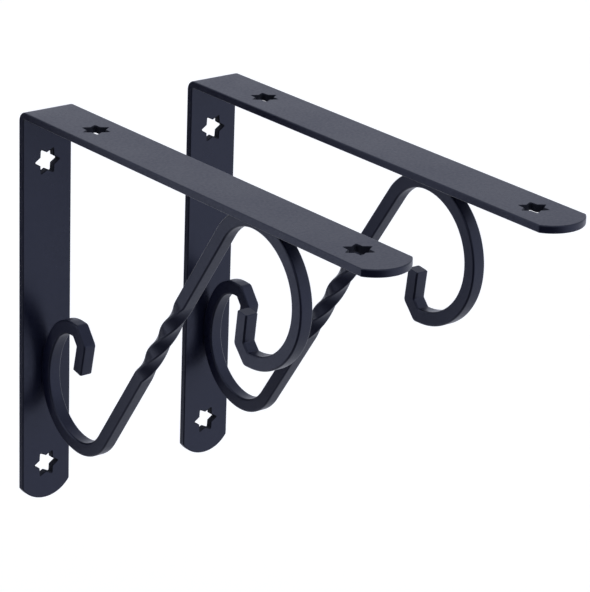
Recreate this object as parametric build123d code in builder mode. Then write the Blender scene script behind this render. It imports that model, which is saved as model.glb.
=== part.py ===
"""A pair of scrolled shelf brackets.

Each bracket is a flat strap bent square, a square bar strut that is twisted in the middle and
curled at both ends, and the two welds that hold the strut to the strap.

Millimetres. X runs along the wall, Y points into the wall and Z points up. The wall's face is
Y = 0 and the shelf rests on Z = 0. The origin lies midway between the two brackets.
"""

from build123d import *

import os
from math import atan2, cos, radians, sin, tan

os.makedirs("parts", exist_ok=True)

# Pair
bracket_spacing = 75.0

# Strap: one flat bar, bent into a leg on the wall and an arm under the shelf
strap_width = 21.0
strap_thickness = 2.8
leg_height = 154.8
arm_length = 199.4
bend_radius = 1.2  # inside of the bend
end_rise = 5.5  # bulge of each rounded end past its corners
end_corner_radius = 0.8
strap_edge_radius = 0.45

# Star-shaped screw holes, two in the leg and two in the arm
star_points = 6
star_tip_radius = 5.25
star_valley_radius = 3.2
star_tip_rounding = 0.4
leg_upper_hole_drop = 20.25  # below the shelf
leg_lower_hole_inset = 14.05  # above the leg's end
arm_inner_hole_reach = 33.75  # out from the wall
arm_outer_hole_inset = 19.4  # back from the arm's end

# Strut: square bar, all its bends turn the same way from the diagonal outwards
bar_size = 5.2
bar_edge_radius = 0.7
diagonal_angle = 56.0  # degrees up from level
diagonal_length = 122.5
crown_radius = 20.4  # bend that lays the bar against the arm
upper_scroll_radius = 24.7
upper_scroll_turn = 178.8
heel_radius = 18.0  # first bend below the diagonal
heel_turn = 55.0
rise_radius = 22.0  # second bend, up to the leg
lower_side_radius = 30.0
lower_side_turn = 37.0
lower_top_radius = 13.2
lower_top_turn = 57.0
hook_kink_turn = 49.0  # each of the two kinks that fold a hook
hook_flat = 6.1  # between the two kinks
kink_outer_radius = 2.0
kink_inner_radius = 0.8
tail_length = 11.4
tail_chamfer = 0.35

# Twist in the middle of the diagonal: quarter turns, right-handed
twist_length = 43.0
twist_quarters = 3

# Welds
weld_gap = 0.3  # between the bar and the strap
weld_length = 10.0
weld_inset = 0.2  # in from the bar's flat on each side

# Derived places in the bracket's side view: u out from the wall, v up
bar_offset = strap_thickness + weld_gap + bar_size / 2
rise_turn = 90.0 + diagonal_angle - heel_turn
slope = radians(diagonal_angle)
lean = radians(rise_turn - 90.0)
foot_u = bar_offset + rise_radius * (1 + sin(lean)) + heel_radius * (sin(slope) - sin(lean))
foot_v = -bar_offset - crown_radius * (1 - cos(slope)) - diagonal_length * sin(slope)
crown_u = foot_u + diagonal_length * cos(slope) + crown_radius * sin(slope)
contact_v = foot_v + rise_radius * cos(lean) + heel_radius * (cos(slope) - cos(lean))
twist_start = (diagonal_length - twist_length) / 2
twist_end = twist_start + twist_length
half_kink = radians(hook_kink_turn / 2)
hook_lead = 1.2 * (bar_size / 2 + kink_inner_radius) * tan(half_kink)
end_radius = ((strap_width / 2) ** 2 + end_rise**2) / (2 * end_rise)
weld_width = bar_size - 2 * (bar_edge_radius + weld_inset)

upper_bends = [(crown_radius, diagonal_angle), (upper_scroll_radius, upper_scroll_turn)]
lower_bends = [
    (heel_radius, heel_turn),
    (rise_radius, rise_turn),
    (lower_side_radius, lower_side_turn),
    (lower_top_radius, lower_top_turn),
]


def side_plane(x):
    """Side view of the bracket at x: first axis out from the wall, second axis up."""
    return Plane(origin=(x, 0, 0), x_dir=(0, -1, 0), z_dir=(-1, 0, 0))


def diagonal_point(distance):
    """Side-view point on the diagonal's centreline, a distance up from its lower end."""
    return (foot_u + distance * cos(slope), foot_v + distance * sin(slope))


def leg_plane(x, drop):
    """Plane on the leg's wall face, a distance below the shelf, second axis up."""
    return Plane(origin=(x, 0, -drop), x_dir=(-1, 0, 0), z_dir=(0, 1, 0))


def arm_plane(x, reach):
    """Plane on the arm's shelf face, a distance out from the wall, second axis to the wall."""
    return Plane(origin=(x, -reach, 0), x_dir=(1, 0, 0), z_dir=(0, 0, 1))


def end_waste(plane):
    """Waste outside the arc of a strap end, on a plane whose origin is the arc's outermost point."""
    with BuildSketch(plane) as waste:
        Rectangle(2 * strap_width, 2 * end_rise)
        with Locations((0, end_radius)):
            Circle(end_radius, mode=Mode.SUBTRACT)
    return waste.sketch


def star_outline(plane):
    """Star-shaped hole, points across the strap."""
    step = 180 / star_points
    radii = (star_tip_radius, star_valley_radius)
    corners = [
        (radii[i % 2] * cos(radians(i * step)), radii[i % 2] * sin(radians(i * step)))
        for i in range(2 * star_points)
    ]
    with BuildSketch(plane) as star:
        with BuildLine():
            Polyline(*corners, close=True)
        make_face()
        tips = star.vertices().group_by(lambda tip: Vector(*tip).length)[-1]
        fillet(tips, star_tip_rounding)
    return star.sketch


def bar_section(plane):
    """The strut's square section."""
    with BuildSketch(plane) as section:
        RectangleRounded(bar_size, bar_size, bar_edge_radius)
    return section.sketch


def bar_path(x, start, end, bends):
    """Centreline from one side-view point straight to another, then through bends."""
    with BuildLine(side_plane(x)) as path:
        line = Line(start, end)
        for radius, turn in bends:
            line = JernArc(line @ 1, line % 1, radius, -turn)
    return path.wire()


def bar_hook(x, path):
    """Hook at the end of a path: two kinks with a flat between them, and a straight tail."""
    plane = side_plane(x)
    point = plane.to_local_coords(path @ 1)
    ahead = plane.to_local_coords(path @ 1 + path % 1) - point
    heading = atan2(ahead.Y, ahead.X)
    outer, inner = [], []
    for advance, half_turn in ((0, 0), (hook_lead, half_kink), (hook_flat, half_kink), (tail_length, 0)):
        point += Vector(cos(heading), sin(heading)) * advance
        heading -= half_turn
        corner = Vector(-sin(heading), cos(heading)) * (bar_size / 2 / cos(half_turn))
        heading -= half_turn
        outer.append(point + corner)
        inner.append(point - corner)
    with BuildSketch(plane) as outline:
        with BuildLine():
            Polyline(*outer, *reversed(inner), close=True)
        make_face()
        for kinks, radius in ((outer[1:3], kink_outer_radius), (inner[1:3], kink_inner_radius)):
            fillet([outline.vertices().sort_by_distance(kink)[0] for kink in kinks], radius)
    with BuildPart() as hook:
        extrude(outline.sketch, amount=bar_size / 2, both=True)
        start = hook.faces().sort_by_distance(path @ 1)[0]
        tip = plane.from_local_coords(point)
        end = hook.faces().sort_by_distance(tip)[0]
        sides = hook.edges().filter_by(lambda edge: abs(edge.center().X - x) > bar_size / 2 - 0.001)
        fillet(sides - start.edges() - end.edges(), bar_edge_radius)
        chamfer(hook.faces().sort_by_distance(tip)[0].edges(), tail_chamfer)
    return hook.part


for side, x in (("left", -bracket_spacing / 2), ("right", bracket_spacing / 2)):
    with BuildPart() as strap:
        with BuildSketch(side_plane(x)) as profile:
            with BuildLine():
                Polyline(
                    (0, 0),
                    (arm_length + end_rise, 0),
                    (arm_length + end_rise, -strap_thickness),
                    (strap_thickness, -strap_thickness),
                    (strap_thickness, -leg_height - end_rise),
                    (0, -leg_height - end_rise),
                    close=True,
                )
            make_face()
            outside = profile.vertices().sort_by_distance((0, 0))[0]
            fillet(outside, bend_radius + strap_thickness)
            inside = profile.vertices().sort_by_distance((strap_thickness, -strap_thickness))[0]
            fillet(inside, bend_radius)
        extrude(amount=strap_width / 2, both=True)
        for plane in (leg_plane(x, leg_height), arm_plane(x, arm_length)):
            extrude(end_waste(plane), amount=-strap_thickness, mode=Mode.SUBTRACT)
        end_corners = strap.edges().filter_by(lambda edge: abs(edge.length - strap_thickness) < 0.001)
        fillet(end_corners, end_corner_radius)
        rims = strap.edges().filter_by(lambda edge: abs(edge.length - strap_thickness) > 0.001)
        fillet(rims - rims.filter_by(Axis.X), strap_edge_radius)
        holes = [
            leg_plane(x, leg_upper_hole_drop),
            leg_plane(x, leg_height - leg_lower_hole_inset),
            arm_plane(x, arm_inner_hole_reach),
            arm_plane(x, arm_length - arm_outer_hole_inset),
        ]
        for plane in holes:
            extrude(star_outline(plane), amount=-strap_thickness, mode=Mode.SUBTRACT)
    strap.part.label = f"{side}_strap"
    export_step(strap.part, f"parts/{side}_strap.step")

    lower_path = bar_path(x, diagonal_point(twist_start), diagonal_point(0), lower_bends)
    upper_path = bar_path(x, diagonal_point(twist_end), diagonal_point(diagonal_length), upper_bends)
    with BuildPart() as strut:
        for path in (lower_path, upper_path):
            sweep(bar_section(Plane(origin=path @ 0, x_dir=(1, 0, 0), z_dir=path % 0)), path=path)
        axis = upper_path @ 0 - lower_path @ 0
        square = bar_section(Plane(origin=lower_path @ 0, x_dir=(1, 0, 0), z_dir=axis))
        turn = 90 * twist_quarters
        add(Solid.extrude_linear_with_rotation(square.face(), lower_path @ 0, axis, turn))
        for path in (lower_path, upper_path):
            add(bar_hook(x, path))
    strut.part.label = f"{side}_strut"
    export_step(strut.part, f"parts/{side}_strut.step")

    with BuildPart() as arm_weld:
        under_arm = Plane(origin=(x, -crown_u, -strap_thickness), x_dir=(1, 0, 0), z_dir=(0, 0, -1))
        with BuildSketch(under_arm):
            Rectangle(weld_width, weld_length)
        extrude(amount=weld_gap + bar_size / 2)
        add(strut.part, mode=Mode.SUBTRACT)
    arm_weld.part.label = f"{side}_arm_weld"
    export_step(arm_weld.part, f"parts/{side}_arm_weld.step")

    with BuildPart() as leg_weld:
        before_leg = Plane(origin=(x, -strap_thickness, contact_v), x_dir=(1, 0, 0), z_dir=(0, -1, 0))
        with BuildSketch(before_leg):
            Rectangle(weld_width, weld_length)
        extrude(amount=weld_gap + bar_size / 2)
        add(strut.part, mode=Mode.SUBTRACT)
    leg_weld.part.label = f"{side}_leg_weld"
    export_step(leg_weld.part, f"parts/{side}_leg_weld.step")
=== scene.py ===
"""Looks of two scrolled shelf brackets: bent straps, twisted bar struts, welds and a white stage.

Metres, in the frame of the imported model: X along the wall, Y into the wall, Z up.
"""

import math

import bmesh
import bpy
from bpy.props import FloatProperty, FloatVectorProperty, IntProperty, PointerProperty
from mathutils import Euler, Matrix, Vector


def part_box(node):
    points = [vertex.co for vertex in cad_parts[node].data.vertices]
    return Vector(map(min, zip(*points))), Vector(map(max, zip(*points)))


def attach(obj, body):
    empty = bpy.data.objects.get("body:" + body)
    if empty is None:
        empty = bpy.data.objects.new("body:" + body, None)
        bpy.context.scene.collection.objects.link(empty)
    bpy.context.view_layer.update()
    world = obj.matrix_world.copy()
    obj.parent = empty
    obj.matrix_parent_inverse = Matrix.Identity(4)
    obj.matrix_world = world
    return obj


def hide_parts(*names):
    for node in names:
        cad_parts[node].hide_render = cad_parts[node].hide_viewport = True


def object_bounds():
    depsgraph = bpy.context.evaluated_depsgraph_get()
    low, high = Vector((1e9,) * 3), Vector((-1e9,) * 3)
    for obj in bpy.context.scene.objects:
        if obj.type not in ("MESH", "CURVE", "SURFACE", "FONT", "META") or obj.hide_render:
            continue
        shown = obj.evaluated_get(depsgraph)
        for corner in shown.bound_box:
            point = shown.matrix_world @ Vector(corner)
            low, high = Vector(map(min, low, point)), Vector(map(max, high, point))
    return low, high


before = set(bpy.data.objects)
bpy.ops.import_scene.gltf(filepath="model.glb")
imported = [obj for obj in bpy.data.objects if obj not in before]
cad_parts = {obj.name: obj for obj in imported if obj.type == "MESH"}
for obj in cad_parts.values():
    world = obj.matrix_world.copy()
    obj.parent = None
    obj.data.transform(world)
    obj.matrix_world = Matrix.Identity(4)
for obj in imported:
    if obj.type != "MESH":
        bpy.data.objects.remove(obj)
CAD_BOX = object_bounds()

bl_info = {
    "name": "Scrolled Shelf Brackets",
    "version": (1, 0, 0),
    "blender": (4, 5, 0),
    "location": "View3D > Sidebar > Brackets",
    "description": "Dresses a pair of coated steel shelf brackets and sets their stage",
    "category": "Object",
}

MM = 0.001
SIDES = ("left", "right")
STRAP_LOW, STRAP_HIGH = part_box("left_strap")


# Settings


def number(name, description, value, **options):
    """Plain number."""
    return FloatProperty(name=name, description=description, default=value, **options)


def length(name, description, millimetres):
    """Length, given in millimetres and kept in metres."""
    return number(name, description, millimetres * MM, min=0.0, unit="LENGTH", precision=5)


def place(name, description, millimetres):
    """Place along an axis, given in millimetres and kept in metres."""
    return number(name, description, millimetres * MM, unit="LENGTH", precision=5)


def angle(name, description, degrees):
    """Angle, given in degrees."""
    return number(name, description, math.radians(degrees), subtype="ANGLE")


def factor(name, description, value):
    """Share between nought and one."""
    return number(name, description, value, min=0.0, max=1.0, subtype="FACTOR")


def cosine(name, description, value):
    """Cosine of an angle."""
    return number(name, description, value, min=-1.0, max=1.0)


def triple(name, description, values, subtype, **options):
    """Three numbers that belong together."""
    options["subtype"] = subtype
    return FloatVectorProperty(name=name, description=description, default=values, **options)


def colour(name, description, rgb):
    """Linear colour."""
    return triple(name, description, rgb, "COLOR", min=0.0, max=1.0)


class StrapSizes(bpy.types.PropertyGroup):
    """Sizes of the bent flat bar."""

    width: length("Width", "Width of the flat bar", (STRAP_HIGH.x - STRAP_LOW.x) / MM)
    thickness: length("Thickness", "Thickness of the flat bar", 2.8)
    leg_height: length("Leg height", "Wall leg, from the shelf to its rounded end", -STRAP_LOW.z / MM)
    arm_length: length("Arm length", "Shelf arm, from the wall to its rounded end", -STRAP_LOW.y / MM)
    bend_radius: length("Bend radius", "Radius inside the bend", 1.2)
    end_rise: length("End rise", "Bulge of each rounded end past its corners", 5.5)
    corner_radius: length("Corner radius", "Rounding where an end meets the long edges", 0.8)
    rim_radius: length("Rim radius", "Rounding of the coated edges", 0.45)
    star_tip: length("Star tip", "Radius of a star hole over its points, before they are rounded", 5.25)
    star_valley: length("Star valley", "Radius of a star hole between its points", 3.2)
    star_rounding: length("Star rounding", "Rounding of a star's points", 0.4)
    star_points: IntProperty(name="Star points", description="Points of a star hole", default=6, min=3)
    leg_upper_drop: length("Upper leg hole", "Below the shelf", 20.25)
    leg_lower_inset: length("Lower leg hole", "Above the leg's end", 14.05)
    arm_inner_reach: length("Inner arm hole", "Out from the wall", 33.75)
    arm_outer_inset: length("Outer arm hole", "Back from the arm's end", 19.4)


class StrutSizes(bpy.types.PropertyGroup):
    """Sizes of the twisted and curled square bar."""

    bar: length("Bar", "Side of the square bar", 5.2)
    edge_radius: length("Edge radius", "Rounding of the bar's long edges", 0.7)
    gap: length("Gap", "Between the bar and the strap where they are welded", 0.3)
    diagonal_angle: angle("Diagonal angle", "Slope of the diagonal", 56.0)
    diagonal_length: length("Diagonal length", "Straight part of the bar", 122.5)
    crown_radius: length("Crown radius", "Bend that lays the bar against the arm", 20.4)
    upper_radius: length("Upper scroll radius", "Radius of the upper scroll", 24.7)
    upper_turn: angle("Upper scroll turn", "Turn of the upper scroll", 178.8)
    heel_radius: length("Heel radius", "First bend below the diagonal", 18.0)
    heel_turn: angle("Heel turn", "Turn of the first bend below the diagonal", 55.0)
    rise_radius: length("Rise radius", "Second bend, up to the leg", 22.0)
    side_radius: length("Lower side radius", "Bend of the lower curl off the leg", 30.0)
    side_turn: angle("Lower side turn", "Turn of the lower curl off the leg", 37.0)
    top_radius: length("Lower top radius", "Bend over the top of the lower curl", 13.2)
    top_turn: angle("Lower top turn", "Turn over the top of the lower curl", 57.0)
    kink_turn: angle("Kink turn", "Turn of each of the two kinks that fold a hook", 49.0)
    hook_flat: length("Hook flat", "Flat between the two kinks of a hook", 6.1)
    kink_outer: length("Kink outside", "Rounding outside a kink", 2.0)
    kink_inner: length("Kink inside", "Rounding inside a kink", 0.8)
    tail: length("Tail", "Straight tail after each hook", 11.4)
    tail_chamfer: length("Tail chamfer", "Chamfer round the cut ends", 0.35)
    twist_length: length("Twist length", "Twisted part in the middle of the diagonal", 43.0)
    twist_turn: angle("Twist", "Total twist of the bar", 270.0)
    unevenness: length("Unevenness", "How far the bent bar strays from its true line", 0.12)


class WeldSizes(bpy.types.PropertyGroup):
    """Sizes of the weld beads between bar and strap."""

    length: length("Length", "Length of a bead along the bar", 11.0)
    width: length("Width", "Width of a bead across the bar", 4.2)
    thickness: length("Thickness", "Thickness of a bead, let into both sides", 1.1)
    offset: length("Offset", "Middle of a bead past the gap, on the bar's side", 0.1)
    ripples: IntProperty(name="Ripples", description="Ripples along a bead", default=7, min=1)
    ripple_depth: factor("Ripple depth", "Height of the ripples, as a share of the bead", 0.09)


class CoatFinish(bpy.types.PropertyGroup):
    """Colours and texture of the powder coat."""

    strap_colour: colour("Strap coat", "Coat on the straps", (0.0052, 0.006, 0.0178))
    bar_colour: colour("Bar coat", "Coat on the bars", (0.0052, 0.006, 0.0178))
    weld_colour: colour("Weld coat", "Coat over the welds", (0.007, 0.008, 0.018))
    # lighter colour on the rims: partly thinner coat, partly a painted highlight
    edge_colour: colour("Edge coat", "Thinner coat along the edges", (0.008, 0.009, 0.016))
    sheen_tint: colour("Gloss tint", "Tint of the coat's gloss", (0.7, 0.76, 1.0))
    gloss_index: number("Gloss index", "Refractive index of the coat", 1.52, min=1.0)
    roughness: factor("Roughness", "Roughness of the satin coat", 0.34)
    peel_size: length("Peel size", "Size of the coat's orange peel", 1.1)
    grain_size: length("Grain size", "Size of the coat's fine grain", 0.22)
    relief: length("Relief", "Height of the coat's texture", 0.02)


class StageSettings(bpy.types.PropertyGroup):
    """Floor, lights and camera."""

    floor_colour: colour("Floor", "Colour of the floor", (0.86, 0.86, 0.86))
    floor_lift: factor("Floor lift", "White that the floor shows besides the light on it", 0.32)
    floor_drop: length("Floor drop", "Floor below the brackets' lowest point", 150.0)
    floor_size: length("Floor size", "Side of the floor", 12000.0)
    world_colour: colour("World colour", "Colour of the light all round", (0.855, 0.885, 1.0))
    world_level: factor("World", "Level of the light all round", 0.85)
    dark_side: triple("Dark side", "Direction of the studio's dark side", (-0.75, -0.5, -0.43), "DIRECTION")
    fade_from: cosine("Fade from", "Cosine of the angle to the dark side where the fade starts", 0.2)
    fade_to: cosine("Fade to", "Cosine of the angle to the dark side where the fade ends", 0.88)
    below_level: factor("Below", "Light from straight below", 0.6)
    above_level: factor("Above", "Light from the lamp's side, besides the lamp", 0.5)
    flag_x: place("Flag", "Place of the black flag along the wall", -178.0)
    flag_near: place("Flag near", "Nearer edge of the flag", 130.0)
    flag_far: place("Flag far", "Farther edge of the flag", 600.0)
    flag_top: place("Flag top", "Top of the flag", 120.0)
    key_level: number("Key", "Strength of the overhead light", 0.9, min=0.0)
    key_spread: angle("Key spread", "Angle that the overhead light fills, which makes it soft", 50.0)
    key_side: triple("Key side", "Direction to the overhead light", (0.302, 0.345, 0.889), "DIRECTION")
    lens: number("Lens", "Focal length", 170.21, min=1.0, unit="CAMERA")
    eye: triple("Eye", "Place of the camera", (-0.573906, -0.812581, 0.300406), "TRANSLATION", unit="LENGTH")
    gaze: triple(
        "Gaze", "Turn of the camera", tuple(map(math.radians, (69.071, -2.016, -38.174))), "EULER"
    )


class BracketSettings(bpy.types.PropertyGroup):
    """All the settings of the pair."""

    strap: PointerProperty(type=StrapSizes, name="Strap", description="Sizes of the straps")
    strut: PointerProperty(type=StrutSizes, name="Strut", description="Sizes of the struts")
    weld: PointerProperty(type=WeldSizes, name="Weld", description="Sizes of the welds")
    coat: PointerProperty(type=CoatFinish, name="Coat", description="Finish of the steel")
    stage: PointerProperty(type=StageSettings, name="Stage", description="Floor, lights and camera")


def settings():
    """The scene's bracket settings."""
    return bpy.context.scene.bracket_pair


# Objects


def bracket_x(side):
    """Middle of one bracket along the wall."""
    low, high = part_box(f"{side}_strap")
    return (low.x + high.x) / 2


def dress(piece, node):
    """Stands the piece in for a CAD node, on the only body."""
    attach(piece, "root")
    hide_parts(node)


def link_object(name, data):
    """New object at the origin."""
    obj = bpy.data.objects.new(name, data)
    bpy.context.scene.collection.objects.link(obj)
    return obj


def bake_modifiers(obj, name):
    """Replaces an object and its modifiers by a plain mesh object of that name."""
    bpy.context.view_layer.update()
    depsgraph = bpy.context.evaluated_depsgraph_get()
    mesh = bpy.data.meshes.new_from_object(
        obj.evaluated_get(depsgraph), preserve_all_data_layers=True, depsgraph=depsgraph
    )
    bpy.data.objects.remove(obj)
    if not mesh.polygons:
        raise RuntimeError(f"{name} came out empty")
    mesh.name = name
    return link_object(name, mesh)


# Flat outlines


def ahead(heading):
    """Flat direction of a heading."""
    return Vector((math.cos(heading), math.sin(heading)))


def left(heading):
    """Flat direction to the left of a heading."""
    return Vector((-math.sin(heading), math.cos(heading)))


def rounded_corner(before, corner, after, radius, steps):
    """Points of the arc that rounds a corner of a flat outline."""
    first = (before - corner).normalized()
    second = (after - corner).normalized()
    half = first.angle(second) / 2
    centre = corner + (first + second).normalized() * (radius / math.sin(half))
    start, end = (corner + way * (radius / math.tan(half)) - centre for way in (first, second))
    sweep = end.angle_signed(start)
    turns = [sweep * step / steps for step in range(steps + 1)]
    return [centre + ahead(turn) * start.x + left(turn) * start.y for turn in turns]


# Node trees


def feed(tree, socket, value):
    """Links another socket to this one, or sets a plain value on it."""
    if isinstance(value, bpy.types.NodeSocket):
        tree.links.new(value, socket)
    else:
        socket.default_value = value


def add_node(tree, kind, inputs=None, **values):
    """Node with some of its properties set, and its inputs linked or set."""
    node = tree.nodes.new(kind)
    for key, value in values.items():
        setattr(node, key, value)
    for key, value in (inputs or {}).items():
        feed(tree, node.inputs[key], value)
    return node


def start_group(name, kind, inputs, outputs):
    """New node group with named sockets, what it is given and what it has to put out."""
    tree = bpy.data.node_groups.new(name, kind)
    for way, sockets in (("INPUT", inputs), ("OUTPUT", outputs)):
        for label, socket in sockets.items():
            tree.interface.new_socket(name=label, in_out=way, socket_type=f"NodeSocket{socket}")
    return tree, add_node(tree, "NodeGroupInput").outputs, add_node(tree, "NodeGroupOutput").inputs


def math_node(tree, operation, *values):
    """Result of a Math node on sockets or plain numbers."""
    inputs = dict(enumerate(values))
    return add_node(tree, "ShaderNodeMath", inputs, operation=operation).outputs["Value"]


def vector_node(tree, operation, *values):
    """Result of a Vector Math node on sockets or plain vectors."""
    inputs = dict(enumerate(values))
    return add_node(tree, "ShaderNodeVectorMath", inputs, operation=operation).outputs["Vector"]


def scaled(tree, vector, scale):
    """Vector or colour times a number."""
    inputs = {0: vector, "Scale": scale}
    return add_node(tree, "ShaderNodeVectorMath", inputs, operation="SCALE").outputs["Vector"]


def map_range(tree, value, low, high, to_low, to_high):
    """Value spread from one range to another."""
    inputs = {"Value": value, "From Min": low, "From Max": high, "To Min": to_low, "To Max": to_high}
    return add_node(tree, "ShaderNodeMapRange", inputs).outputs["Result"]


def empty_material(name):
    """New material and its node tree, with no nodes yet."""
    material = bpy.data.materials.new(name)
    material.use_nodes = True
    material.node_tree.nodes.clear()
    return material, material.node_tree


# Powder coat

NOISE_SPAN = (0.3, 0.7)  # holds most of a noise's values
NOISE_ROUGHNESS = 0.55
CLOUD_SCALE = 38.0
CLOUD_DETAIL = 3.0
CLOUD_TONE = 0.5
CLOUD_GLOSS = 0.03
PEEL_DETAIL = 2.0
PEEL_GLOSS = 0.05
PEEL_HEIGHT = 0.75
GRAIN_DETAIL = 1.0
GRAIN_TONE = 0.35
GRAIN_HEIGHT = 0.25
RUB_SCALE = 260.0
RUB_DETAIL = 3.0
RUB_SPAN = (0.35, 0.6)
RUB_LEAST = 0.15  # thinning of the coat where an edge is rubbed least
# painted shade: the coat on hole walls and rims inside holes is darkened to this share
HOLE_PAINTED_SHADE = 0.25
RECESS_DULLING = 0.4
BUMP_STRENGTH = 0.35


def coat_group():
    """Shader group of the powder coat: colour, roughness and relief that change over the surface."""
    name = "Powder Coat"
    if name in bpy.data.node_groups:
        return bpy.data.node_groups[name]
    inputs = {
        "Coat Color": "Color",
        "Edge Color": "Color",
        "Edge": "Float",
        "Recess": "Float",
        "Roughness": "Float",
        "Mottle": "Float",
        "Peel Scale": "Float",
        "Grain Scale": "Float",
    }
    outputs = {"Color": "Color", "Roughness": "Float", "Height": "Float"}
    tree, given, result = start_group(name, "ShaderNodeTree", inputs, outputs)
    spot = add_node(tree, "ShaderNodeTexCoord").outputs["Object"]

    def noise(scale, detail):
        inputs = {"Vector": spot, "Scale": scale, "Detail": detail, "Roughness": NOISE_ROUGHNESS}
        return add_node(tree, "ShaderNodeTexNoise", inputs).outputs["Fac"]

    def swing(pattern, amount):
        return map_range(tree, pattern, *NOISE_SPAN, -amount, amount)

    clouds = noise(CLOUD_SCALE, CLOUD_DETAIL)
    peel = noise(given["Peel Scale"], PEEL_DETAIL)
    grain = noise(given["Grain Scale"], GRAIN_DETAIL)
    rub = noise(RUB_SCALE, RUB_DETAIL)

    # Tone: broad clouds and fine powder grain, and painted shade that darkens the coat inside holes
    tone = math_node(tree, "ADD", swing(clouds, CLOUD_TONE), swing(grain, GRAIN_TONE))
    shade = math_node(tree, "MULTIPLY_ADD", tone, given["Mottle"], 1.0)
    recess = map_range(tree, given["Recess"], 0.0, 1.0, 1.0, HOLE_PAINTED_SHADE)
    toned = scaled(tree, given["Coat Color"], math_node(tree, "MULTIPLY", shade, recess))

    # Edges: the coat thins out in broken lengths and is lighter there, partly worn coat and partly a painted
    # highlight
    rubbed = map_range(tree, rub, *RUB_SPAN, RUB_LEAST, 1.0)
    thin_coat_and_highlight = math_node(tree, "MULTIPLY", given["Edge"], rubbed)
    inputs = {"Factor": thin_coat_and_highlight, "A": toned, "B": given["Edge Color"]}
    edged = add_node(tree, "ShaderNodeMix", inputs, data_type="RGBA")
    feed(tree, result["Color"], edged.outputs["Result"])

    # Gloss: a little smoother on the peel's crests, dull inside holes
    rough = math_node(tree, "ADD", given["Roughness"], swing(peel, -PEEL_GLOSS))
    rough = math_node(tree, "ADD", rough, swing(clouds, CLOUD_GLOSS))
    rough = math_node(tree, "MULTIPLY_ADD", given["Recess"], RECESS_DULLING, rough)
    feed(tree, result["Roughness"], rough)

    # Relief: peel with grain on it
    height = math_node(tree, "MULTIPLY", grain, GRAIN_HEIGHT)
    height = math_node(tree, "MULTIPLY_ADD", peel, PEEL_HEIGHT, height)
    feed(tree, result["Height"], height)
    return tree


def coat_material(name, rgb, mottle, peel_share):
    """Satin powder coat over steel."""
    coat = settings().coat
    material, tree = empty_material(name)
    material.diffuse_color = (*rgb, 1.0)

    def mark(attribute):
        return add_node(tree, "ShaderNodeAttribute", attribute_name=attribute).outputs["Fac"]

    inputs = {
        "Coat Color": (*rgb, 1.0),
        "Edge Color": (*coat.edge_colour, 1.0),
        "Edge": mark("edge"),
        "Recess": mark("recess"),
        "Roughness": coat.roughness,
        "Mottle": mottle,
        "Peel Scale": 1.0 / (coat.peel_size * peel_share),
        "Grain Scale": 1.0 / coat.grain_size,
    }
    finish = add_node(tree, "ShaderNodeGroup", inputs, node_tree=coat_group()).outputs
    inputs = {"Strength": BUMP_STRENGTH, "Distance": coat.relief, "Height": finish["Height"]}
    bump = add_node(tree, "ShaderNodeBump", inputs)
    inputs = {
        "Base Color": finish["Color"],
        "Roughness": finish["Roughness"],
        "IOR": coat.gloss_index,
        "Specular Tint": (*coat.sheen_tint, 1.0),
        "Normal": bump.outputs["Normal"],
    }
    shader = add_node(tree, "ShaderNodeBsdfPrincipled", inputs)
    add_node(tree, "ShaderNodeOutputMaterial", {"Surface": shader.outputs["BSDF"]})
    return material


# Strap

COAT_SLOT, RIM_SLOT, HOLE_SLOT = range(3)  # marks that faces carry until they become attributes
TIP_STEPS = 4  # round a star's point
CORNER_STEPS = 6  # round a corner of an end
END_STEPS = 24  # along the arc of an end
BEND_STEPS = 16
PANEL_LENGTH = 6.0 * MM  # of the faces along plain stretches
HOLE_PATCH = 7.0 * MM  # half length of the faces round a star hole
RIM_SEGMENTS = 4
RIM_ANGLE = math.radians(60.0)  # edges that turn more are rims
NEAR = 1e-9  # slack in comparing places and turns
PLACES = 4  # decimals of a millimetre to which points that fall together agree


def star_outline(sizes):
    """Star hole about the origin, counterclockwise, points across the strap."""
    count = 2 * sizes.star_points
    corners = []
    for index in range(count):
        radius = sizes.star_valley if index % 2 else sizes.star_tip
        corners.append(ahead(math.pi * index / sizes.star_points) * radius)
    outline = []
    for index, corner in enumerate(corners):
        if index % 2:
            outline.append(corner)
        else:
            before, after = corners[index - 1], corners[index + 1]
            outline += rounded_corner(before, corner, after, sizes.star_rounding, TIP_STEPS)
    return outline


def end_outline(sizes):
    """Rounded end of the blank, from one long edge to the other, as points across and along."""
    half = sizes.width / 2
    corner = sizes.corner_radius
    arc = (half**2 + sizes.end_rise**2) / (2 * sizes.end_rise)
    corner_along = arc - math.sqrt((arc - corner) ** 2 - (half - corner) ** 2)
    lean = math.atan2(half - corner, arc - corner_along)
    near_half = []
    for step in range(CORNER_STEPS):
        turn = math.pi / 2 - (math.pi / 2 - lean) * step / CORNER_STEPS
        across = half - corner + corner * math.sin(turn)
        near_half.append((across, corner_along - corner * math.cos(turn)))
    for step in range(END_STEPS // 2 + 1):
        turn = lean * (1 - 2 * step / END_STEPS)
        near_half.append((arc * math.sin(turn), arc - arc * math.cos(turn)))
    far_half = [(-across, along) for across, along in reversed(near_half[:-1])]
    return near_half + far_half


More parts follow.
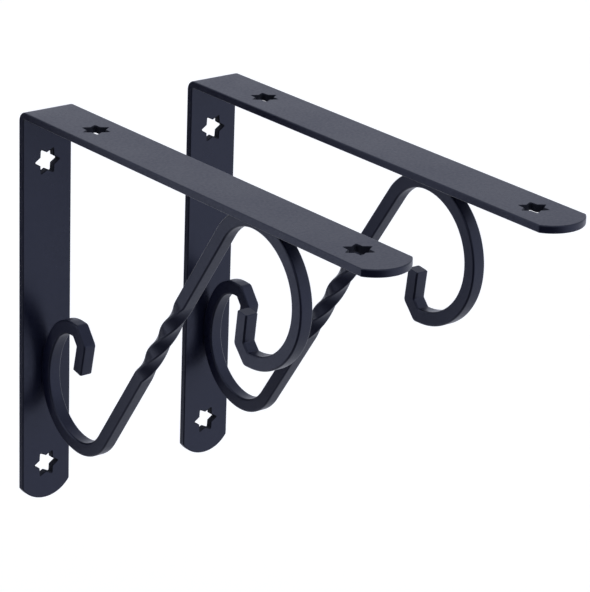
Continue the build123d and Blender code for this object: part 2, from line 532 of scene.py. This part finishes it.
class StrapBlank:
    """Flat outline of a strap, in points across and along, that is then given thickness and bent."""

    def __init__(self, sizes, x):
        self.sizes = sizes
        self.x = x
        self.half = sizes.width / 2
        self.outer_radius = sizes.bend_radius + sizes.thickness
        self.bend_start = sizes.leg_height - self.outer_radius
        self.bend_end = self.bend_start + self.outer_radius * math.pi / 2
        self.total = self.bend_end + sizes.arm_length - self.outer_radius
        self.holes = (
            sizes.leg_lower_inset,
            sizes.leg_height - sizes.leg_upper_drop,
            self.bend_end + sizes.arm_inner_reach - self.outer_radius,
            self.total - sizes.arm_outer_inset,
        )
        self.faces = []
        self.hole_points = []

    @staticmethod
    def key(point):
        """Name of a blank point, the same for points that fall together."""
        return tuple(round(part / MM, PLACES) for part in point)

    def line(self, along, points=()):
        """Points of a line across the blank, from left to right."""
        return [(-self.half, along), *points, (self.half, along)]

    def hole_patch(self, along):
        """Ring of faces round a star hole; returns the lines across below and above it."""
        lower, upper = along - HOLE_PATCH, along + HOLE_PATCH
        rim, border, turns = [], [], []
        for point in star_outline(self.sizes):
            scale = 1.0 / max(abs(point.x) / self.half, abs(point.y) / HOLE_PATCH)
            rim.append((point.x, along + point.y))
            border.append((point.x * scale, along + point.y * scale))
            turns.append(math.atan2(point.y, point.x))
        self.hole_points += rim

        corners = [(self.half, upper), (-self.half, upper), (-self.half, lower), (self.half, lower)]
        corner_turns = [math.atan2(level - along, across) for across, level in corners]
        for index in range(-1, len(rim) - 1):
            span = (turns[index + 1] - turns[index]) % math.tau
            between = [
                corner for corner, turn in zip(corners, corner_turns)
                if NEAR < (turn - turns[index]) % math.tau < span - NEAR
            ]
            self.faces.append([rim[index], border[index], *between, border[index + 1], rim[index + 1]])

        def line_at(level):
            inner = [point for point in border if abs(point[1] - level) < NEAR]
            return self.line(level, sorted(point for point in inner if abs(point[0]) < self.half - NEAR))

        return line_at(lower), line_at(upper)

    def stretch(self, first, last, spacing):
        """Faces between two lines across the blank, cut across at about even spacing."""
        start, end = first[0][1], last[0][1]
        count = max(1, round((end - start) / spacing))
        lines = [self.line(start + (end - start) * step / count) for step in range(1, count)]
        for lower, upper in zip([first, *lines], [*lines, last]):
            self.faces.append([*lower, *reversed(upper)])

    def lay_out(self):
        """Fills the blank with faces, from the leg's end to the arm's end."""
        end = end_outline(self.sizes)
        far_end = [(across, self.total - along) for across, along in end]
        patches = [self.hole_patch(along) for along in self.holes]
        bend_first, bend_last = self.line(self.bend_start), self.line(self.bend_end)
        self.faces.append([*end, *patches[0][0]])
        self.stretch(patches[0][1], patches[1][0], PANEL_LENGTH)
        self.stretch(patches[1][1], bend_first, PANEL_LENGTH)
        self.stretch(bend_first, bend_last, (self.bend_end - self.bend_start) / BEND_STEPS)
        self.stretch(bend_last, patches[2][0], PANEL_LENGTH)
        self.stretch(patches[2][1], patches[3][0], PANEL_LENGTH)
        self.faces.append([*patches[3][1], *far_end])

    def bent(self, across, along, depth):
        """Place of a blank point, a depth below the outer face, after the bend."""
        if along <= self.bend_start:
            return Vector((self.x + across, -depth, along - self.sizes.leg_height))
        if along >= self.bend_end:
            return Vector((self.x + across, -self.outer_radius - (along - self.bend_end), -depth))
        turn = (along - self.bend_start) / self.outer_radius
        radius = self.outer_radius - depth
        return Vector((
            self.x + across,
            radius * math.cos(turn) - self.outer_radius,
            radius * math.sin(turn) - self.outer_radius,
        ))

    def in_hole(self, spot):
        """Whether a bent strap's point belongs to a star hole."""
        reach = self.sizes.star_tip + 2 * self.sizes.rim_radius
        middles = [self.bent(0.0, along, self.sizes.thickness / 2) for along in self.holes]
        return any((spot - middle).length < reach for middle in middles)

    def mesh(self, name):
        """Closed mesh of the bent strap."""
        self.lay_out()
        bm = bmesh.new()
        outer, inner = {}, {}

        def corner(skin, depth, point):
            key = self.key(point)
            if key not in skin:
                skin[key] = bm.verts.new(self.bent(*point, depth))
            return skin[key]

        uses = {}
        for face in self.faces:
            top = [corner(outer, 0.0, point) for point in face]
            bottom = [corner(inner, self.sizes.thickness, point) for point in face]
            bm.faces.new(top)
            bm.faces.new(list(reversed(bottom)))
            for index in range(len(face)):
                after = (index + 1) % len(face)
                wall = (top[after], top[index], bottom[index], bottom[after])
                uses.setdefault(frozenset(wall[:2]), []).append(wall)
        hole_verts = {outer[self.key(point)] for point in self.hole_points}
        for walls in uses.values():
            if len(walls) == 1:
                wall = bm.faces.new(walls[0])
                if walls[0][0] in hole_verts:
                    wall.material_index = HOLE_SLOT
        bmesh.ops.recalc_face_normals(bm, faces=bm.faces)
        mesh = bpy.data.meshes.new(name)
        bm.to_mesh(mesh)
        bm.free()
        mesh.shade_smooth()
        return mesh


def mark_faces(mesh, in_hole):
    """Marks rims and holes by face attributes instead of the material slots that held the marks."""
    edges, recesses = [], []
    for polygon in mesh.polygons:
        rim = polygon.material_index == RIM_SLOT
        # hole walls and the rims inside holes get the recess mark, which darkens them with painted shade and
        # dulls them
        recess = polygon.material_index == HOLE_SLOT or (rim and in_hole(polygon.center))
        # rims outside holes get the edge mark, which lightens them with thinner coat and a painted highlight
        edges.append(float(rim and not recess))
        recesses.append(float(recess))
        polygon.material_index = COAT_SLOT
    for name, values in (("edge", edges), ("recess", recesses)):
        mesh.attributes.new(name, "FLOAT", "FACE").data.foreach_set("value", values)
    while len(mesh.materials) > 1:
        mesh.materials.pop()


class BRACKETS_OT_straps(bpy.types.Operator):
    """Makes both straps: a flat blank with star holes, bent square, with rounded rims"""

    bl_idname = "brackets.straps"
    bl_label = "Make Straps"

    def execute(self, context):
        sizes = settings().strap
        coat = coat_material("strap coat", settings().coat.strap_colour, mottle=0.22, peel_share=1.0)
        for side in SIDES:
            shape = StrapBlank(sizes, bracket_x(side))
            blank = link_object(f"{side}_blank", shape.mesh(f"{side}_blank"))
            for _ in (COAT_SLOT, RIM_SLOT, HOLE_SLOT):
                blank.data.materials.append(coat)
            rim = blank.modifiers.new("rim", "BEVEL")
            rim.width = sizes.rim_radius
            rim.segments = RIM_SEGMENTS
            rim.limit_method = "ANGLE"
            rim.angle_limit = RIM_ANGLE
            rim.material = RIM_SLOT
            rim.harden_normals = True
            strap = bake_modifiers(blank, f"{side}_bent_strap")
            mark_faces(strap.data, shape.in_hole)
            dress(strap, f"{side}_strap")
        return {"FINISHED"}


# Strut

STATION_STEP = 0.6 * MM  # along the bends
PLAIN_STATIONS = 24  # along the diagonal, on each side of the twist
TWIST_STATIONS = 120
KINK_STEPS = 8
HOOK_LEAD = 1.2  # room before a hook's first kink, as a share of what its inside rounding takes
TAIL_SHARES = (0.7, 0.4)  # stations along the tail, back from its end
EDGE_STEPS = 5  # round an edge of the bar
WOBBLE_SCALE = 45.0
WOBBLE_DETAIL = 1.0
WOBBLE_MIDDLE = (0.5, 0.5, 0.5)
FLAT_FACE_WEIGHT = 100


class StrutRoute:
    """Stations of the bar in the bracket's side view: u out from the wall, v up."""

    def __init__(self, strut, strap):
        self.strut = strut
        offset = strap.thickness + strut.gap + strut.bar / 2
        slope = strut.diagonal_angle
        rise_turn = math.pi / 2 + slope - strut.heel_turn
        lean = rise_turn - math.pi / 2
        foot_u = offset + strut.rise_radius * (1 + math.sin(lean))
        foot_u += strut.heel_radius * (math.sin(slope) - math.sin(lean))
        foot_v = -offset - strut.crown_radius * (1 - math.cos(slope))
        foot_v -= strut.diagonal_length * math.sin(slope)
        self.foot = Vector((foot_u, foot_v))
        self.top = self.foot + ahead(slope) * strut.diagonal_length
        self.crown_u = self.top.x + strut.crown_radius * math.sin(slope)
        self.contact_v = foot_v + strut.rise_radius * math.cos(lean)
        self.contact_v += strut.heel_radius * (math.cos(slope) - math.cos(lean))
        self.upper_bends = ((strut.crown_radius, slope), (strut.upper_radius, strut.upper_turn))
        self.lower_bends = (
            (strut.heel_radius, strut.heel_turn),
            (strut.rise_radius, rise_turn),
            (strut.side_radius, strut.side_turn),
            (strut.top_radius, strut.top_turn),
        )

    def outward(self, point, heading, bends):
        """Stations from an end of the diagonal, through right-hand bends and a hook, to the tip.

        A station is the bar's centre, the vector across it to the left for a bar of size one, and
        the share of its full size.
        """
        stations = []
        for radius, turn in bends:
            centre = point - left(heading) * radius
            steps = max(2, round(radius * turn / STATION_STEP))
            for step in range(1, steps + 1):
                side = left(heading - turn * step / steps)
                stations.append((centre + side * radius, side, 1.0))
            heading -= turn
            point = centre + left(heading) * radius
        return stations + self.hook(point, heading)

    def hook(self, point, heading):
        """Stations through two kinks with a flat between them, and along the tail."""
        strut = self.strut
        half_turn = strut.kink_turn / 2
        lead = HOOK_LEAD * (strut.bar / 2 + strut.kink_inner) * math.tan(half_turn)
        legs = ((0.0, 0.0), (lead, half_turn), (strut.hook_flat, half_turn), (strut.tail, 0.0))
        outer, inner = [], []
        for advance, turn in legs:
            point = point + ahead(heading) * advance
            heading -= turn
            corner = left(heading) * (strut.bar / 2 / math.cos(turn))
            heading -= turn
            outer.append(point + corner)
            inner.append(point - corner)

        def knee(index):
            bend = slice(index - 1, index + 2)
            outside = rounded_corner(*outer[bend], strut.kink_outer, KINK_STEPS)
            return [*zip(outside, rounded_corner(*inner[bend], strut.kink_inner, KINK_STEPS))]

        flat_middle = ((outer[1] + outer[2]) / 2, (inner[1] + inner[2]) / 2)
        rings = [*knee(1), flat_middle, *knee(2)]
        for back in (*(strut.tail * share for share in TAIL_SHARES), strut.tail_chamfer, 0.0):
            rings.append((outer[3] - ahead(heading) * back, inner[3] - ahead(heading) * back))
        stations = [((a + b) / 2, (a - b) / strut.bar, 1.0) for a, b in rings]
        centre, across, _ = stations[-1]
        stations[-1] = (centre, across, 1.0 - 2 * strut.tail_chamfer / strut.bar)
        return stations

    def stations(self):
        """All stations from the lower tip to the upper tip, each with its twist as well."""
        strut = self.strut
        slope = strut.diagonal_angle
        lower = self.outward(self.foot, slope + math.pi, self.lower_bends)
        upper = self.outward(self.top, slope, self.upper_bends)
        start = (strut.diagonal_length - strut.twist_length) / 2
        end = start + strut.twist_length
        reaches = [0.0]
        for low, high, count in (
            (0.0, start, PLAIN_STATIONS),
            (start, end, TWIST_STATIONS),
            (end, strut.diagonal_length, PLAIN_STATIONS),
        ):
            reaches += [low + (high - low) * step / count for step in range(1, count + 1)]
        route = [(centre, -across, size, 0.0) for centre, across, size in reversed(lower)]
        for reach in reaches:
            share = min(max((reach - start) / strut.twist_length, 0.0), 1.0)
            route.append((self.foot + ahead(slope) * reach, left(slope), 1.0, strut.twist_turn * share))
        route += [(centre, across, size, strut.twist_turn) for centre, across, size in upper]
        return route


def finish_tree(tree, geometry, material, result):
    """Ends a tree with smooth shading, real geometry and its material."""
    smooth = add_node(tree, "GeometryNodeSetShadeSmooth", {"Geometry": geometry})
    real = add_node(tree, "GeometryNodeRealizeInstances", {"Geometry": smooth.outputs["Geometry"]})
    inputs = {"Geometry": real.outputs["Geometry"], "Material": material}
    coated = add_node(tree, "GeometryNodeSetMaterial", inputs)
    feed(tree, result["Geometry"], coated.outputs["Geometry"])


def bar_tree():
    """Geometry nodes that set a rounded square section on every station of a bar and skin them."""
    name = "Twisted Bar"
    if name in bpy.data.node_groups:
        return bpy.data.node_groups[name]
    inputs = {
        "Geometry": "Geometry",
        "Bar Size": "Float",
        "Edge Radius": "Float",
        "Unevenness": "Float",
        "Seed": "Float",
        "Material": "Material",
    }
    tree, given, result = start_group(name, "GeometryNodeTree", inputs, {"Geometry": "Geometry"})
    position = add_node(tree, "GeometryNodeInputPosition").outputs["Position"]

    def read(kind, attribute):
        node = add_node(tree, "GeometryNodeInputNamedAttribute", {"Name": attribute}, data_type=kind)
        return node.outputs["Attribute"]

    def store(kind, attribute, geometry, value):
        inputs = {"Geometry": geometry, "Name": attribute, "Value": value}
        node = add_node(tree, "GeometryNodeStoreNamedAttribute", inputs, data_type=kind, domain="POINT")
        return node.outputs["Geometry"]

    # Line: the bent bar strays a little from its true course
    line = add_node(tree, "GeometryNodeMeshToCurve", {"Mesh": given["Geometry"]}).outputs["Curve"]
    inputs = {"Vector": position, "W": given["Seed"], "Scale": WOBBLE_SCALE, "Detail": WOBBLE_DETAIL}
    wobble = add_node(tree, "ShaderNodeTexNoise", inputs, noise_dimensions="4D").outputs["Color"]
    stray = scaled(tree, vector_node(tree, "SUBTRACT", wobble, WOBBLE_MIDDLE), given["Unevenness"])
    line = store("FLOAT_VECTOR", "centre", line, vector_node(tree, "ADD", position, stray))

    # Section: a square with rounded corners, marked where it is round
    inputs = {"Width": given["Bar Size"], "Height": given["Bar Size"]}
    square = add_node(tree, "GeometryNodeCurvePrimitiveQuadrilateral", inputs, mode="RECTANGLE")
    inputs = {"Curve": square.outputs["Curve"], "Count": EDGE_STEPS, "Radius": given["Edge Radius"]}
    fillet = add_node(tree, "GeometryNodeFilletCurve", inputs, mode="POLY")
    reach = add_node(tree, "ShaderNodeVectorMath", {0: position}, operation="LENGTH").outputs["Value"]
    half = math_node(tree, "MULTIPLY", given["Bar Size"], 0.5)
    flat_half = math_node(tree, "SUBTRACT", half, given["Edge Radius"])
    flat_square = math_node(tree, "MULTIPLY", flat_half, flat_half)
    flat_reach = math_node(tree, "SQRT", math_node(tree, "MULTIPLY_ADD", half, half, flat_square))
    corner_reach = math_node(tree, "MULTIPLY_ADD", flat_half, math.sqrt(2.0), given["Edge Radius"])
    edge = map_range(tree, reach, flat_reach, corner_reach, 0.0, 1.0)
    section = store("FLOAT", "edge", fillet.outputs["Curve"], edge)
    section = store("FLOAT_VECTOR", "section", section, position)

    # Skin: every section point goes to its place across its station, after the twist
    inputs = {"Curve": line, "Profile Curve": section, "Fill Caps": True}
    skin = add_node(tree, "GeometryNodeCurveToMesh", inputs).outputs["Mesh"]
    sized = scaled(tree, read("FLOAT_VECTOR", "section"), read("FLOAT", "size"))
    inputs = {"Vector": sized, "Angle": read("FLOAT", "twist")}
    turned = add_node(tree, "ShaderNodeVectorRotate", inputs, rotation_type="Z_AXIS").outputs["Vector"]
    parts = add_node(tree, "ShaderNodeSeparateXYZ", {"Vector": turned}).outputs
    sideways = add_node(tree, "ShaderNodeCombineXYZ", {"X": parts["X"]}).outputs["Vector"]
    across = scaled(tree, read("FLOAT_VECTOR", "across"), parts["Y"])
    spot = vector_node(tree, "ADD", read("FLOAT_VECTOR", "centre"), across)
    spot = vector_node(tree, "ADD", spot, sideways)
    bar = add_node(tree, "GeometryNodeSetPosition", {"Geometry": skin, "Position": spot})
    for attribute in ("centre", "section", "across", "twist", "size"):
        inputs = {"Geometry": bar.outputs["Geometry"], "Name": attribute}
        bar = add_node(tree, "GeometryNodeRemoveAttribute", inputs)
    finish_tree(tree, bar.outputs["Geometry"], given["Material"], result)
    return tree


def station_object(name, x, stations):
    """Line of vertices, one to a station, that carry the vector across, the size and the twist."""
    centres, acrosses, sizes, twists = zip(*stations)
    mesh = bpy.data.meshes.new(name)
    verts = [(x, -centre.x, centre.y) for centre in centres]
    mesh.from_pydata(verts, [(index, index + 1) for index in range(len(verts) - 1)], [])
    parts = [part for across in acrosses for part in (0.0, -across.x, across.y)]
    mesh.attributes.new("across", "FLOAT_VECTOR", "POINT").data.foreach_set("vector", parts)
    for key, values in (("size", sizes), ("twist", twists)):
        mesh.attributes.new(key, "FLOAT", "POINT").data.foreach_set("value", values)
    return link_object(name, mesh)


def grow(path, tree, name, **values):
    """Runs a geometry node tree on a path and returns the result as a plain mesh object."""
    modifier = path.modifiers.new(tree.name, "NODES")
    modifier.node_group = tree
    inputs = [item for item in tree.interface.items_tree if item.in_out == "INPUT"]
    sockets = {item.name: item.identifier for item in inputs}
    for key, value in values.items():
        modifier[sockets[key]] = value
    return bake_modifiers(path, name)


def even_normals(obj, name):
    """Gives flat faces next to small roundings flat shading."""
    modifier = obj.modifiers.new("flat faces", "WEIGHTED_NORMAL")
    modifier.weight = FLAT_FACE_WEIGHT
    modifier.keep_sharp = True
    return bake_modifiers(obj, name)


class BRACKETS_OT_struts(bpy.types.Operator):
    """Makes both struts: a square bar run along its scrolls and twisted in the middle"""

    bl_idname = "brackets.struts"
    bl_label = "Make Struts"

    def execute(self, context):
        strut = settings().strut
        stations = StrutRoute(strut, settings().strap).stations()
        coat = coat_material("bar coat", settings().coat.bar_colour, mottle=0.3, peel_share=0.8)
        for seed, side in enumerate(SIDES):
            route = station_object(f"{side}_route", bracket_x(side), stations)
            values = {
                "Bar Size": strut.bar,
                "Edge Radius": strut.edge_radius,
                "Unevenness": strut.unevenness,
                "Seed": float(seed),
                "Material": coat,
            }
            bar = grow(route, bar_tree(), f"{side}_bar", **values)
            bar = even_normals(bar, f"{side}_scrolled_bar")
            dress(bar, f"{side}_strut")
        return {"FINISHED"}


# Welds

BEAD_STATIONS = 72
BEAD_SIDES = 28
BEAD_END_POWER = 6.0  # the higher, the blunter a bead's ends
BEAD_END_LEAST = 0.004  # keeps the ends from closing to a point


def bead_tree():
    """Geometry nodes that run a rippled bead along a short path."""
    name = "Weld Bead"
    if name in bpy.data.node_groups:
        return bpy.data.node_groups[name]
    inputs = {
        "Geometry": "Geometry",
        "Width": "Float",
        "Thickness": "Float",
        "Ripples": "Float",
        "Ripple Depth": "Float",
        "Material": "Material",
    }
    tree, given, result = start_group(name, "GeometryNodeTree", inputs, {"Geometry": "Geometry"})
    inputs = {"Curve": given["Geometry"], "Count": BEAD_STATIONS}
    seam = add_node(tree, "GeometryNodeResampleCurve", inputs).outputs["Curve"]
    share = add_node(tree, "GeometryNodeSplineParameter").outputs["Factor"]

    # The bead is round at both ends and rippled between them
    from_middle = math_node(tree, "MULTIPLY_ADD", share, 2.0, -1.0)
    fall = math_node(tree, "POWER", math_node(tree, "ABSOLUTE", from_middle), BEAD_END_POWER)
    body = math_node(tree, "MAXIMUM", math_node(tree, "SUBTRACT", 1.0, fall), BEAD_END_LEAST)
    body = math_node(tree, "SQRT", body)
    phase = math_node(tree, "FRACT", math_node(tree, "MULTIPLY", share, given["Ripples"]))
    crest = math_node(tree, "SINE", math_node(tree, "MULTIPLY", phase, math.pi))
    dip = math_node(tree, "MULTIPLY", math_node(tree, "SUBTRACT", 1.0, crest), given["Ripple Depth"])
    girth = math_node(tree, "MULTIPLY", body, math_node(tree, "SUBTRACT", 1.0, dip))
    seam = add_node(tree, "GeometryNodeSetCurveRadius", {"Curve": seam, "Radius": girth})

    circle = add_node(tree, "GeometryNodeCurvePrimitiveCircle", {"Resolution": BEAD_SIDES, "Radius": 0.5})
    inputs = {"X": given["Width"], "Y": given["Thickness"], "Z": 1.0}
    size = add_node(tree, "ShaderNodeCombineXYZ", inputs)
    inputs = {"Geometry": circle.outputs["Curve"], "Scale": size.outputs["Vector"]}
    oval = add_node(tree, "GeometryNodeTransform", inputs).outputs["Geometry"]
    inputs = {"Curve": seam.outputs["Curve"], "Profile Curve": oval, "Fill Caps": True}
    bead = add_node(tree, "GeometryNodeCurveToMesh", inputs)
    finish_tree(tree, bead.outputs["Mesh"], given["Material"], result)
    return tree


def path_object(name, points):
    """Curve object that follows the points in straight steps."""
    curve = bpy.data.curves.new(name, "CURVE")
    curve.dimensions = "3D"
    spline = curve.splines.new("POLY")
    spline.points.add(len(points) - 1)
    for slot, point in zip(spline.points, points):
        slot.co = (*point, 1.0)
    return link_object(name, curve)


class BRACKETS_OT_welds(bpy.types.Operator):
    """Makes the weld beads that hold each bar to its strap"""

    bl_idname = "brackets.welds"
    bl_label = "Make Welds"

    def execute(self, context):
        weld, strap, strut = settings().weld, settings().strap, settings().strut
        route = StrutRoute(strut, strap)
        coat = coat_material("weld coat", settings().coat.weld_colour, mottle=0.5, peel_share=0.5)
        depth = strap.thickness + strut.gap + weld.offset
        half = weld.length / 2
        values = {
            "Width": weld.width,
            "Thickness": weld.thickness,
            "Ripples": float(weld.ripples),
            "Ripple Depth": weld.ripple_depth,
            "Material": coat,
        }
        for side in SIDES:
            x = bracket_x(side)
            seams = {
                "arm_weld": [(x, -route.crown_u - half, -depth), (x, -route.crown_u + half, -depth)],
                "leg_weld": [(x, -depth, route.contact_v - half), (x, -depth, route.contact_v + half)],
            }
            for seam, ends in seams.items():
                path = path_object(f"{side}_{seam}_seam", ends)
                bead = grow(path, bead_tree(), f"{side}_{seam}_bead", **values)
                dress(bead, f"{side}_{seam}")
        return {"FINISHED"}


# Stage

WHITE = (1.0, 1.0, 1.0, 1.0)
FLAG_BLACK = (0.003, 0.003, 0.003, 1.0)
FLOOR_ROUGHNESS = 0.9
BELOW_SPAN = (0.4, 0.85)  # cosines of the angle from straight below
ABOVE_SPAN = (0.5, 1.0)  # cosines of the angle from the lamp
SENSOR_WIDTH = 36.0
CLIP_START = 0.01


def floor_material(stage):
    """Matt pale floor that shows as white where no shadow falls on it."""
    material, tree = empty_material("floor")
    inputs = {"Base Color": (*stage.floor_colour, 1.0), "Roughness": FLOOR_ROUGHNESS}
    matt = add_node(tree, "ShaderNodeBsdfPrincipled", inputs)
    rays = add_node(tree, "ShaderNodeLightPath").outputs
    seen = math_node(tree, "MAXIMUM", rays["Is Camera Ray"], rays["Is Transmission Ray"])
    seen = math_node(tree, "MAXIMUM", seen, rays["Is Glossy Ray"])
    lift = math_node(tree, "MULTIPLY", seen, stage.floor_lift)
    glow = add_node(tree, "ShaderNodeEmission", {"Strength": lift})
    both = add_node(tree, "ShaderNodeAddShader", {0: matt.outputs["BSDF"], 1: glow.outputs["Emission"]})
    add_node(tree, "ShaderNodeOutputMaterial", {"Surface": both.outputs["Shader"]})
    return material


def flag_material():
    """Black cloth."""
    material, tree = empty_material("flag cloth")
    inputs = {"Base Color": FLAG_BLACK, "Roughness": 1.0, "Specular IOR Level": 0.0}
    cloth = add_node(tree, "ShaderNodeBsdfPrincipled", inputs)
    add_node(tree, "ShaderNodeOutputMaterial", {"Surface": cloth.outputs["BSDF"]})
    return material


def studio_world(stage):
    """White studio with a dark side, dimmer straight below and around the lamp.

    Gloss sees it at a strength of one. To the camera and through glass it is plain white.
    """
    world = bpy.data.worlds.new("studio")
    world.use_nodes = True
    tree = world.node_tree
    tree.nodes.clear()
    direction = add_node(tree, "ShaderNodeTexCoord").outputs["Generated"]

    def toward(side):
        inputs = {0: direction, 1: Vector(side).normalized()}
        return add_node(tree, "ShaderNodeVectorMath", inputs, operation="DOT_PRODUCT").outputs["Value"]

    fade = map_range(tree, toward(stage.dark_side), stage.fade_from, stage.fade_to, 1.0, 0.0)
    fade.node.interpolation_type = "SMOOTHSTEP"
    low = map_range(tree, toward((0.0, 0.0, -1.0)), *BELOW_SPAN, 1.0, stage.below_level)
    high = map_range(tree, toward(stage.key_side), *ABOVE_SPAN, 1.0, stage.above_level)
    bright = math_node(tree, "MULTIPLY", fade, math_node(tree, "MULTIPLY", low, high))
    rays = add_node(tree, "ShaderNodeLightPath").outputs
    level = math_node(tree, "MAXIMUM", rays["Is Glossy Ray"], stage.world_level)
    inputs = {"Color": (*stage.world_colour, 1.0), "Strength": math_node(tree, "MULTIPLY", bright, level)}
    studio = add_node(tree, "ShaderNodeBackground", inputs)
    white = add_node(tree, "ShaderNodeBackground", {"Color": WHITE, "Strength": 1.0})
    seen = math_node(tree, "MAXIMUM", rays["Is Camera Ray"], rays["Is Transmission Ray"])
    inputs = {0: seen, 1: studio.outputs["Background"], 2: white.outputs["Background"]}
    choice = add_node(tree, "ShaderNodeMixShader", inputs)
    add_node(tree, "ShaderNodeOutputWorld", {"Surface": choice.outputs["Shader"]})
    return world


def stage_sheet(name, corners, material):
    """Flat four-cornered sheet of the stage."""
    mesh = bpy.data.meshes.new(name)
    mesh.from_pydata(corners, [], [(0, 1, 2, 3)])
    mesh.materials.append(material)
    sheet = link_object(name, mesh)
    return sheet


class BRACKETS_OT_stage(bpy.types.Operator):
    """Sets the floor, the lights, the world and the camera"""

    bl_idname = "brackets.stage"
    bl_label = "Set Stage"

    def execute(self, context):
        stage = settings().stage
        scene = context.scene
        scene.view_settings.view_transform = "Standard"
        scene.world = studio_world(stage)

        # Floor, which gloss doesn't see
        level = CAD_BOX[0][2] - stage.floor_drop
        half = stage.floor_size / 2
        corners = [(-half, -half, level), (half, -half, level), (half, half, level), (-half, half, level)]
        floor = stage_sheet("floor", corners, floor_material(stage))
        floor.visible_glossy = False

        # Black flag beside the wall, which only gloss sees: it keeps the narrow sides dark near the wall
        x, near, far, top = stage.flag_x, stage.flag_near, stage.flag_far, stage.flag_top
        corners = [(x, near, level), (x, far, level), (x, far, top), (x, near, top)]
        flag = stage_sheet("flag", corners, flag_material())
        for ray in ("camera", "diffuse", "shadow", "transmission"):
            setattr(flag, f"visible_{ray}", False)

        # Wide overhead lamp, whose own shape doesn't show in the gloss
        lamp = bpy.data.lights.new("overhead light", "SUN")
        lamp.angle = stage.key_spread
        lamp.energy = stage.key_level
        key = link_object("overhead light", lamp)
        key.visible_glossy = False
        key.rotation_euler = Vector(stage.key_side).to_track_quat("Z", "Y").to_euler()

        view = bpy.data.cameras.new("camera")
        view.lens = stage.lens
        view.sensor_width = SENSOR_WIDTH
        view.sensor_fit = "AUTO"
        view.clip_start = CLIP_START
        camera = link_object("camera", view)
        camera.location = stage.eye
        camera.rotation_euler = Euler(stage.gaze)
        scene.camera = camera
        return {"FINISHED"}


# Panel and registration

PIECE_OPERATORS = {
    "strap": BRACKETS_OT_straps,
    "strut": BRACKETS_OT_struts,
    "weld": BRACKETS_OT_welds,
    "stage": BRACKETS_OT_stage,
}


class BRACKETS_PT_panel(bpy.types.Panel):
    """Sidebar list of the pieces and their settings"""

    bl_idname = "BRACKETS_PT_panel"
    bl_label = "Scrolled Shelf Brackets"
    bl_space_type = "VIEW_3D"
    bl_region_type = "UI"
    bl_category = "Brackets"

    def draw(self, context):
        pair = context.scene.bracket_pair
        for part in BracketSettings.__annotations__:
            box = self.layout.box()
            if part in PIECE_OPERATORS:
                box.operator(PIECE_OPERATORS[part].bl_idname)
            else:
                box.label(text=part.title())
            group = getattr(pair, part)
            for key in group.__annotations__:
                box.prop(group, key)


CLASSES = (
    StrapSizes,
    StrutSizes,
    WeldSizes,
    CoatFinish,
    StageSettings,
    BracketSettings,
    *PIECE_OPERATORS.values(),
    BRACKETS_PT_panel,
)


def register():
    """Adds the classes and the scene's settings."""
    for cls in CLASSES:
        bpy.utils.register_class(cls)
    bpy.types.Scene.bracket_pair = PointerProperty(type=BracketSettings)


def unregister():
    """Takes the settings and the classes away again."""
    del bpy.types.Scene.bracket_pair
    for cls in reversed(CLASSES):
        bpy.utils.unregister_class(cls)


def main():
    """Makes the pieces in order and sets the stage."""
    register()
    bpy.ops.brackets.straps()
    bpy.ops.brackets.struts()
    bpy.ops.brackets.welds()
    bpy.ops.brackets.stage()
    bpy.context.view_layer.update()


if __name__ == "__main__":
    main()
